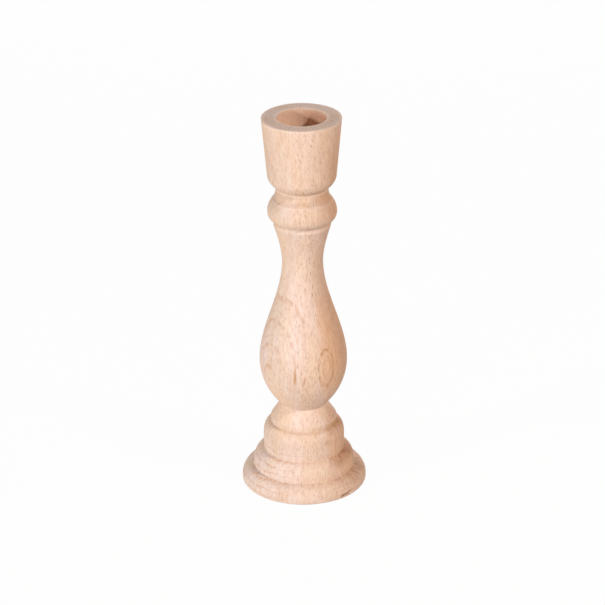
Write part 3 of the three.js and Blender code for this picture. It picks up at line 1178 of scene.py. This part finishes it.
@dataclass
class Base(TurnedPiece):
    """The stepped base: a rounded foot, two rounded steps and a cone up to the neck."""

    node: str = "base"
    facets: int = 400
    foot_radius: float = 28.0
    foot_arris: float = 1.4
    foot_edge_height: float = 2.4
    foot_shoulder_rise: float = 5.8
    lower_step_radius: float = 22.75
    lower_step_edge_height: float = 1.2
    lower_step_shoulder_rise: float = 6.9
    upper_step_radius: float = 18.15
    upper_step_edge_height: float = 7.6
    upper_step_shoulder_rise: float = 5.7
    cone_radius: float = 14.75
    cone_band_height: float = 2.6
    cone_height: float = 6.4
    neck_radius: float = 10.5
    neck_height: float = 0.7
    bore_radius: float = 5.15
    bore_depth: float = 21.0
    chip_from: float = 36.0
    chip_to: float = 53.0
    chip_start_run: float = 1.0
    chip_end_run: float = 5.0
    chip_height: float = 1.3
    chip_climb: float = 0.035
    chip_waves: tuple[Triple, ...] = ((0.14, 2.3, 0.0), (0.08, 5.1, 1.0))
    chip_half_height: float = 0.75
    chip_end_share: float = 0.35
    chip_lip: float = 0.3
    chip_depth: float = 2.0
    chip_reach: float = 4.0
    splinter_lift: float = 0.1

    def outline(self) -> Outline:
        """Traces the base from the centre of its underside to the bore's floor.

        Returns:
            The half section.
        """
        cut = Outline(0, 0)
        cut.step = COARSE_STEP
        cut.line(self.foot_radius - self.foot_arris, 0)
        cut.step = FINEST_STEP
        cut.underside(self.foot_radius, self.foot_arris)
        cut.rise(self.foot_edge_height - self.foot_arris)
        cut.step = FINE_STEP
        cut.shoulder(self.lower_step_radius, self.foot_shoulder_rise)
        cut.crease()
        cut.rise(self.lower_step_edge_height)
        cut.shoulder(self.upper_step_radius, self.lower_step_shoulder_rise)
        cut.crease()
        cut.rise(self.upper_step_edge_height)
        cut.shoulder(self.cone_radius, self.upper_step_shoulder_rise)
        cut.crease()
        cut.rise(self.cone_band_height)
        cut.rise(self.cone_height, self.neck_radius)
        cut.rise(self.neck_height)
        cut.bore(self.bore_radius, self.bore_depth, rises=False)
        return cut

    def _chip(self, skin: Skin) -> tuple[np.ndarray, np.ndarray]:
        """Shapes the crack in the foot's lower edge, to the right of the front.

        Args:
            skin: The base's skin.

        Returns:
            How deep each point lies in the crack, and how far it belongs to the splinter below,
            from 0 to 1.
        """
        turn = skin.turn(FRONT)
        ragged = sum(high * np.sin(turn * pace + shift) for high, pace, shift in self.chip_waves)
        start = np.clip((turn - self.chip_from) / self.chip_start_run, 0, 1)
        end = np.clip((self.chip_to - turn) / self.chip_end_run, 0, 1)
        inside = start * end * (skin.radius > self.foot_radius - self.chip_reach)
        middle = self.chip_height + self.chip_climb * (turn - self.chip_from) + ragged
        tall = self.chip_half_height * (self.chip_end_share + (1 - self.chip_end_share) * end)
        crack = np.clip((tall - np.abs(skin.height - middle)) / self.chip_lip, 0, 1)
        splinter = np.clip((middle - skin.height) / self.chip_lip, 0, 1)
        return crack * inside, splinter * inside

    def worn(self, skin: Skin) -> np.ndarray:
        """Splits the foot's lower edge, lifts the splinter a little and gives the radius that is left."""
        crack, splinter = self._chip(skin)
        return skin.radius - self.chip_depth * crack + self.splinter_lift * splinter * (1 - crack)

    def marks(self, skin: Skin) -> dict[Layer, np.ndarray]:
        """Gives the layer of broken wood in the crack, which the finish fills with painted shade."""
        return {Layer.BROKEN: self._chip(skin)[0]}


@dataclass
class Stem(TurnedPiece):
    """The baluster stem: bulb, waist, flare, fillet, bead and the collar under the cup."""

    node: str = "stem"
    height: float = 103.6608
    neck_radius: float = 11.0
    neck_height: float = 0.5
    bulb_radius: float = 19.55
    bulb_bend: float = 29.16
    bulb_taper_height: float = 47.5
    bulb_fullness: float = 0.32
    waist_fullness: float = 0.35
    waist_radius: float = 9.05
    flare_height: float = 17.4
    flare_radius: float = 12.7
    flare_bend: float = 0.35
    fillet_height: float = 1.9
    fillet_lean: float = 0.4
    bead_radius: float = 15.3
    bead_lower_round: float = 4.5
    bead_upper_round: float = 9.03
    quirk_width: float = 0.15
    quirk_depth: float = 0.02
    collar_radius: float = 12.8
    collar_bend: Point = (0.75, 0.22)
    cup_seat_radius: float = 11.4
    lower_bore_radius: float = 5.15
    lower_bore_depth: float = 21.0
    upper_bore_radius: float = 4.15
    upper_bore_depth: float = 11.0

    def outline(self) -> Outline:
        """Traces the stem from the roof of its lower bore to the floor of its upper one.

        Returns:
            The half section.
        """
        cut = Outline(0, self.lower_bore_depth)
        cut.bore(self.lower_bore_radius, self.lower_bore_depth, rises=True)
        cut.line(self.neck_radius, 0)
        cut.rise(self.neck_height)
        cut.swell(self.bulb_radius, self.bulb_bend)
        cut.ogee(self.waist_radius, self.bulb_taper_height, self.bulb_fullness, self.waist_fullness)
        cut.bend(self.flare_radius, self.flare_height, 0, self.flare_bend)
        cut.rise(self.fillet_height, self.flare_radius - self.fillet_lean)
        cut.swell(self.bead_radius, self.bead_lower_round)
        cut.fall_away(self.collar_radius, self.bead_upper_round)
        cut.line(self.collar_radius - self.quirk_width, cut.height - self.quirk_depth)
        cut.bend(self.cup_seat_radius, self.height - cut.height, *self.collar_bend)
        cut.bore(self.upper_bore_radius, self.upper_bore_depth, rises=False)
        return cut


@dataclass
class CandleCup(TurnedPiece):
    """The tapering cup with its flat rim and its blind candle socket."""

    node: str = "candle_cup"
    seat_radius: float = 11.6
    underside_height: float = 5.4
    underside_bend: Point = (0.97, 0.55)
    lower_radius: float = 15.15
    rim_radius: float = 17.55
    rim_ease: float = 0.25
    socket_radius: float = 11.0
    socket_depth: float = 18.0
    socket_chamfer: float = 0.2
    socket_floor: float = 3.0
    bore_radius: float = 4.15
    bore_depth: float = 11.0
    flake_from: float = 0.0
    flake_to: float = 36.0
    flake_start_run: float = 4.0
    flake_end_run: float = 8.0
    flake_depth: float = 0.4
    flake_height: float = 0.8
    flake_wave: float = 0.3
    flake_wave_pace: float = 0.9
    drilled_at_mouth: float = 0.8
    drilled_from: float = 0.5
    drilled_run: float = 6.0

    @property
    def rim(self) -> float:
        """Height of the rim above the cup's seat."""
        return self.bore_depth + self.socket_floor + self.socket_depth

    def outline(self) -> Outline:
        """Traces the cup from the roof of its bore to the middle of the socket's floor.

        Returns:
            The half section.
        """
        cut = Outline(0, self.bore_depth)
        cut.bore(self.bore_radius, self.bore_depth, rises=True)
        cut.line(self.seat_radius, 0)
        cut.bend(self.lower_radius, self.underside_height, *self.underside_bend)
        cut.line(self.rim_radius, self.rim - self.rim_ease)
        cut.shoulder(self.rim_radius - self.rim_ease, self.rim_ease)
        cut.line(self.socket_radius + self.socket_chamfer, self.rim)
        cut.step = FINEST_STEP
        cut.line(self.socket_radius, self.rim - self.socket_chamfer)
        cut.step = FINE_STEP
        cut.line(self.socket_radius, self.rim - self.socket_depth)
        cut.line(0, self.rim - self.socket_depth)
        return cut

    def _flake(self, skin: Skin) -> np.ndarray:
        """Shapes the flake at the socket's mouth, at the back on the right.

        Args:
            skin: The cup's skin.

        Returns:
            How far each point belongs to the flake, from 0 to 1.
        """
        turn = skin.turn(RIGHT)
        start = np.clip((turn - self.flake_from) / self.flake_start_run, 0, 1)
        end = np.clip((self.flake_to - turn) / self.flake_end_run, 0, 1)
        deep = np.clip(1 - (self.rim - skin.height) / self.flake_height, 0, 1)
        near = np.abs(skin.radius - self.socket_radius) < self.socket_chamfer + EDGE_EASE + HOLDING_GAP
        return start * end * deep * near

    def worn(self, skin: Skin) -> np.ndarray:
        """Flakes a little wood off the socket's mouth and gives the radius that is left."""
        ragged = 1 - self.flake_wave * (1 - np.sin(np.degrees(skin.angle) * self.flake_wave_pace))
        return skin.radius + self.flake_depth * ragged * self._flake(skin)

    def marks(self, skin: Skin) -> dict[Layer, np.ndarray]:
        """Marks the drilled socket and the fresh wood of the flake, which the finish lightens with a painted
        glint.

        Args:
            skin: The cup's skin.

        Returns:
            The layers of drilled and broken wood.
        """
        below = self.rim - skin.height
        socket = (skin.radius < self.socket_radius + TOUCH) & (below < self.socket_depth + TOUCH)
        deep = np.clip((below - self.drilled_from) / self.drilled_run, 0, 1)
        drilled = socket * (self.drilled_at_mouth + (1 - self.drilled_at_mouth) * deep)
        return {Layer.DRILLED: drilled, Layer.BROKEN: -self._flake(skin)}


@dataclass
class GlueDowel(TurnedPiece):
    """A chamfered dowel with straight glue flutes, half in each piece."""

    slot: Slot = Slot.DOWEL
    facets: int = 192
    radius: float = 5.0
    bite: float = 20.0
    chamfer: float = 1.0
    flutes: int = 12
    flute_depth: float = 0.4

    def outline(self) -> Outline:
        """Traces the dowel from the middle of its lower end to that of its upper one.

        Returns:
            The half section.
        """
        cut = Outline(0, -self.bite)
        cut.line(self.radius - self.chamfer, -self.bite)
        cut.rise(self.chamfer, self.radius)
        cut.step = COARSE_STEP
        cut.line(self.radius, self.bite - self.chamfer)
        cut.step = FINE_STEP
        cut.rise(self.chamfer, self.radius - self.chamfer)
        cut.line(0, self.bite)
        return cut

    def worn(self, skin: Skin) -> np.ndarray:
        """Presses the glue flutes into the rod.

        Args:
            skin: The rod's skin.

        Returns:
            The radius that is left.
        """
        pitch = 2 * math.pi / self.flutes
        off = np.abs((skin.angle + pitch / 2) % pitch - pitch / 2) * self.radius
        floor = self.radius - np.clip(self.flute_depth - off, 0, None)
        return np.minimum(skin.radius, floor)


@dataclass(frozen=True)
class Softbox:
    """A square lamp that faces the middle of the holder, in degrees from the front and metres.

    Its level is how bright it makes a white matte face that is turned to it.
    """

    name: str
    azimuth: float
    elevation: float
    size: float
    level: float
    colour: Triple = (1.0, 0.98, 0.95)
    distance: float = 1.3

    def build(self, target: Vector) -> bpy.types.Object:
        """Makes the lamp.

        Args:
            target: The point that it faces.

        Returns:
            The lamp's object.
        """
        lamp = bpy.data.lights.new(self.name, "AREA")
        lamp.shape = "SQUARE"
        lamp.size = self.size
        lamp.color = self.colour
        lamp.energy = self.level * math.pi**2 * self.distance**2
        turn, lift = math.radians(self.azimuth), math.radians(self.elevation)
        away = Vector((math.sin(turn) * math.cos(lift), -math.cos(turn) * math.cos(lift), math.sin(lift)))
        obj = put(self.name, lamp)
        obj.location = target + away * self.distance
        obj.rotation_euler = (-away).to_track_quat("-Z", "Y").to_euler()
        return obj


@dataclass
class Studio:
    """The pale floor, the soft lamps, the white surround and the camera."""

    lamp_target: Triple = (0.0, 0.0, 0.09)
    floor_size: float = 6.0
    floor_share: float = 0.97
    floor_bounce: float = 0.65
    floor_white: float = 0.95
    ambient: Triple = (0.05, 0.05, 0.05)
    white: Triple = (1.0, 1.0, 1.0)
    lens: float = 166.43
    sensor: float = 36.0
    clip: Point = (0.01, 20.0)
    camera_place: Triple = (-0.00017, -1.1262, 0.6052)
    camera_target: Triple = (-0.00017, 0.0, 0.0872)
    camera_roll: float = -0.46
    lamps: tuple[Softbox, ...] = (
        Softbox("key_softbox", azimuth=-30, elevation=4, size=0.34, level=0.495),
        Softbox("left_lamp", azimuth=-60, elevation=18, size=0.10, level=0.31),
        Softbox("warm_lamp", azimuth=57, elevation=37.5, size=0.06, level=0.54, colour=(1.0, 0.87, 0.79)),
        Softbox("overhead_softbox", azimuth=-15, elevation=78, size=1.0, level=0.04, colour=(1.0, 1.0, 1.0)),
        Softbox("back_softbox", azimuth=180, elevation=8, size=0.34, level=0.36),
    )

    def build(self) -> None:
        """Sets up the whole studio."""
        bpy.context.scene.view_settings.view_transform = "Standard"
        self._floor()
        self._surround()
        self._camera()
        for lamp in self.lamps:
            lamp.build(Vector(self.lamp_target))

    @staticmethod
    def _seen(nodes: Nodes) -> Socket:
        """Finds the rays that see the surround itself.

        Args:
            nodes: Placer for the nodes of the floor or the world.

        Returns:
            1 for camera, glossy and transmission rays, and 0 for the light that falls on the holder.
        """
        path = nodes.add("ShaderNodeLightPath").outputs
        seen = nodes.math("MAXIMUM", path["Is Camera Ray"], path["Is Glossy Ray"])
        return nodes.math("MAXIMUM", seen, path["Is Transmission Ray"])

    def _floor(self) -> None:
        """Lays a large white floor that keeps the holder's shadow."""
        half = self.floor_size / 2
        corners = [(-half, -half, 0), (half, -half, 0), (half, half, 0), (-half, half, 0)]
        mesh = bpy.data.meshes.new("floor")
        mesh.from_pydata(corners, [], [(0, 1, 2, 3)])
        floor = put("floor", mesh)
        paint = bpy.data.materials.new("white_floor")
        nodes = Nodes.emptied(paint)
        seen = self._seen(nodes)
        grey = nodes.mix(seen, (self.floor_bounce,) * 3, (self.floor_white,) * 3)
        matte = nodes.add("ShaderNodeBsdfDiffuse", {"Color": grey})
        glow = nodes.add("ShaderNodeEmission", {"Color": self.white, "Strength": 1.0})
        share = nodes.math("MULTIPLY", seen, self.floor_share)
        both = nodes.add("ShaderNodeMixShader", {0: share, 1: matte.outputs[0], 2: glow.outputs[0]})
        nodes.add("ShaderNodeOutputMaterial", {"Surface": both.outputs[0]})
        mesh.materials.append(paint)

    def _surround(self) -> None:
        """Makes a white surround that lights the holder only softly."""
        world = bpy.data.worlds.new("studio")
        nodes = Nodes.emptied(world)
        soft = nodes.add("ShaderNodeBackground", {"Color": self.ambient, "Strength": 1.0})
        white = nodes.add("ShaderNodeBackground", {"Color": self.white, "Strength": 1.0})
        shades = {0: self._seen(nodes), 1: soft.outputs[0], 2: white.outputs[0]}
        both = nodes.add("ShaderNodeMixShader", shades)
        nodes.add("ShaderNodeOutputWorld", {"Surface": both.outputs[0]})
        bpy.context.scene.world = world

    def _camera(self) -> None:
        """Puts the camera where the photograph was taken."""
        camera = bpy.data.cameras.new("camera")
        camera.lens = self.lens
        camera.sensor_width = self.sensor
        camera.clip_start, camera.clip_end = self.clip
        obj = put("camera", camera)
        place = Vector(self.camera_place)
        aim = (Vector(self.camera_target) - place).to_track_quat("-Z", "Y").to_matrix().to_4x4()
        roll = Matrix.Rotation(math.radians(self.camera_roll), 4, "Z")
        obj.matrix_world = Matrix.Translation(place) @ aim @ roll
        bpy.context.scene.camera = obj


# Each mark gives its azimuth, height, half width and half height. An eye adds how many rings it has
# and how clear they are, and a spot adds its share.
TURNED_BEECH = BeechFinish(
    "turned_beech",
    eyes=(
        Eye(-52.0, 52.5, 5.2, 10.3, 4.3, 0.55, upright=1.0, wobble=0.35, sharpness=3.5),
        Eye(-52.0, 52.5, 1.75, 3.45, 12.5, 0.3, upright=1.0, wobble=1.0, sharpness=3.0),
        Eye(32.0, 62.3, 4.3, 9.6, 1.0, 0.9, wobble=0.35, sharpness=5.0),
        Eye(34.0, 62.6, 2.6, 5.6, 1.0, 0.6, wobble=0.5, sharpness=5.0),
        Eye(24.5, 123.0, 1.1, 1.8, 3.0, 0.6, upright=-1.0, sharpness=3.0),
        Eye(-52.0, -12.0, 14.0, 2.9, 11.0, 0.72, wobble=1.1, sharpness=4.0, reach=15.0),
        Eye(40.0, -2.0, 12.0, 1.6, 6.4, 0.6, upright=1.0, wobble=1.5, sharpness=3.0, reach=5.0),
    ),
    # Heartwood tint and painted shade, all on the right side.
    heart_spots=(
        Spot(60.0, 74.0, 60.0, 30.0, 0.95),
        Spot(70.0, 131.0, 7.0, 6.0, 0.7),
        Spot(70.0, 20.0, 16.0, 13.0, 0.95),
        Spot(78.0, 156.0, 9.0, 24.0, 0.7),
        Spot(56.0, 141.0, 9.0, 3.0, 0.8),
    ),
    # Paler sapwood patches, and painted highlights on the collar's arris, the fillet and the front of the
    # base's cone.
    sap_and_highlight_spots=(
        Spot(-60.0, 78.0, 14.0, 30.0, 0.9),
        Spot(0.0, 137.5, 30.0, 0.5, 0.8),
        Spot(-60.0, 12.0, 20.0, 12.0, 1.0),
        Spot(-62.0, 4.0, 12.0, 6.0, 0.9),
        Spot(-20.0, 76.0, 9.0, 20.0, 0.7),
        Spot(0.0, 4.0, 20.0, 10.0, 0.5),
        Spot(0.0, 35.5, 9.0, 4.0, 0.9),
        Spot(-4.0, 20.0, 12.0, 7.0, 0.6),
        Spot(0.0, 125.5, 30.0, 2.0, 0.6),
        Spot(-30.0, 135.0, 7.0, 3.5, 0.8),
    ),
    # Painted shade under the cup, along the collar, in the grooves and creases, and down the far left and
    # right sides.
    painted_shade_spots=(
        Spot(5.0, 134.0, 12.0, 5.0, 0.3),
        Spot(0.0, 138.9, 7.0, 0.9, 1.0),
        Spot(-50.0, 141.4, 7.0, 1.5, 0.9),
        Spot(50.0, 140.6, 7.0, 1.8, 0.6),
        Spot(-22.0, 5.0, 6.0, 4.0, 0.4),
        Spot(70.0, 150.0, 9.0, 30.0, 1.0),
        Spot(74.0, 60.0, 8.0, 14.0, 0.5),
        Spot(-74.0, 150.0, 9.0, 26.0, 0.7),
        Spot(0.0, 143.4, 60.0, 1.2, 0.8),
        Spot(0.0, 127.3, 60.0, 0.8, 0.5),
        Spot(78.0, 84.0, 9.0, 28.0, 0.8),
        Spot(0.0, 29.6, 40.0, 0.6, 0.5),
        Spot(84.0, 8.0, 5.0, 9.0, 0.7),
        Spot(84.0, 22.0, 4.0, 9.0, 0.6),
    ),
    stains=(
        Spot(-47.0, 23.0, 1.6, 4.5, 0.3),
        Spot(35.5, 24.7, 1.6, 1.4, 0.6),
        Spot(45.3, 13.9, 1.8, 1.8, 0.5),
        Spot(43.2, 29.5, 1.4, 0.7, 0.7),
        Spot(64.5, 30.5, 1.6, 0.8, 0.8),
        Spot(82.0, 29.4, 4.0, 1.8, 0.9),
        Spot(66.0, 30.6, 5.0, 0.8, 0.5),
        Spot(80.0, 15.2, 5.0, 1.2, 0.5),
        Spot(15.5, 5.0, 1.0, 3.0, 0.3),
    ),
    streaks=(
        Spot(-11.0, 58.6, 0.75, 3.2, 0.85),
        Spot(-11.0, 62.6, 0.36, 3.2, 0.7),
        Spot(1.5, 57.7, 0.36, 2.1, 1.0, lean=0.15),
        Spot(30.0, 92.5, 0.4, 3.0, 0.3),
    ),
)
DOWEL_BEECH = BeechFinish(
    "dowel_beech",
    pale=(0.79, 0.56, 0.39),
    straw=(0.78, 0.54, 0.35),
    rosy=(0.70, 0.45, 0.30),
    pith=(22.0, 41.0, 0.0),
    lean=0.0,
    ring_spacing=1.9,
    ring_clarity=0.3,
    marks_per_mm=1.2,
)


def main() -> None:
    """Builds the holder from the table upwards, then the studio round it."""
    logging.basicConfig(level=logging.INFO, format="%(name)s: %(message)s")
    effects = WoodEffects()
    turned = TURNED_BEECH.build(effects)
    milled = DOWEL_BEECH.build(effects)
    base = Base(turned)
    stem = Stem(turned, seat=base.joint)
    cup = CandleCup(turned, seat=stem.joint)
    lower = GlueDowel(milled, seat=base.joint, node="lower_dowel")
    upper = GlueDowel(milled, seat=stem.joint, node="upper_dowel", radius=4.0, bite=10.0)
    for part in (base, lower, stem, upper, cup):
        piece = part.build()
        LOG.info("%s: %d faces, seat at %.2f mm", piece.name, len(piece.data.polygons), part.seat)
    Studio().build()


if __name__ == "__main__":
    main()
